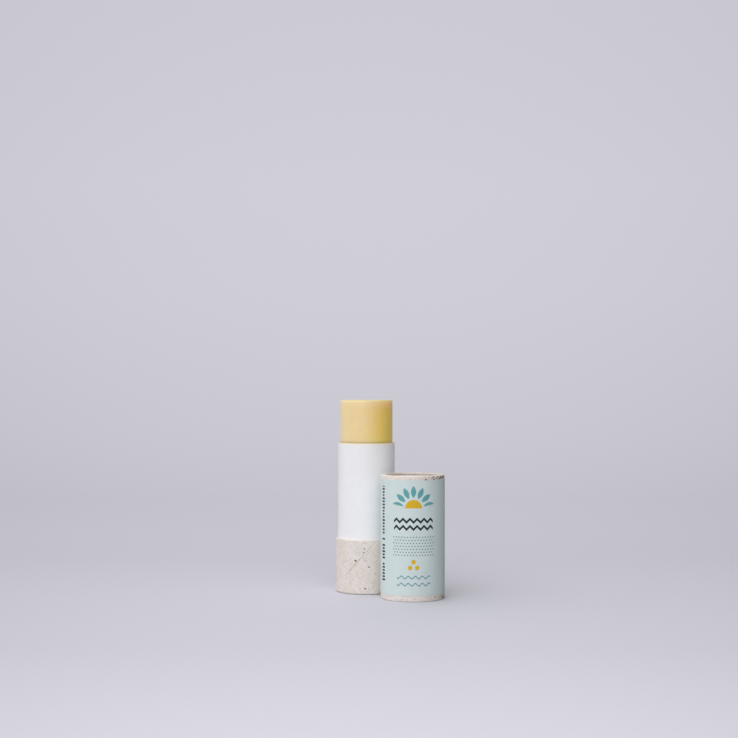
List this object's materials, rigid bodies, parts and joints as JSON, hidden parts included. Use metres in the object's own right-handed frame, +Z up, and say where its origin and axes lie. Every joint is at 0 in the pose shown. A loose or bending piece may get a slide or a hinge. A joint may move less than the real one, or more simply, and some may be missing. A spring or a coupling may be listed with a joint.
{
  "type": "lip balm stick",
  "caption": "Push-up paper lip balm tube with a curled base sleeve, white inner tube, sliding pusher and balm, and a labelled pull-off cap standing beside it.",
  "frame": {"origin": "centre of the finger hole in the curled foot, on the table that the stick stands on", "axes": "+Z up along the stick's axis towards the balm, +X to the right of the stick as shown, and -Y towards the viewer, where the cap stands"},
  "size_m": [0.0409, 0.0416, 0.0734],
  "materials": {
    "grass_paper": "matte",
    "plain_board": "matte",
    "white_paper": "matte",
    "greaseproof_paper": "satin",
    "label_paper": "matte",
    "balm": "satin"
  },
  "bodies": {
    "tube": {"base_sleeve": "grass_paper", "sleeve_board": "plain_board", "inner_tube": "plain_board", "tube_wrap": "white_paper", "tube_lining": "greaseproof_paper"},
    "pusher": {"pusher_ring": "white_paper", "pusher_disc": "plain_board", "pusher_facing": "greaseproof_paper", "balm_stick": "balm"},
    "cap": {"cap_tube": "grass_paper", "cap_board": "plain_board", "cap_lining": "white_paper", "cap_end_disc": "plain_board", "cap_end_facing": "grass_paper", "cap_end_lining": "white_paper", "cap_label": "label_paper"}
  },
  "joints": [
    {"name": "pusher_slide", "type": "slide", "parent": "tube", "child": "pusher", "axis": [0, 0, 1], "range_m": [-0.0182, 0.0286]},
    {"name": "cap_lift", "type": "slide", "parent": "tube", "child": "cap", "axis": [0, 0, 1], "range_m": [0, 0.075]}
  ]
}
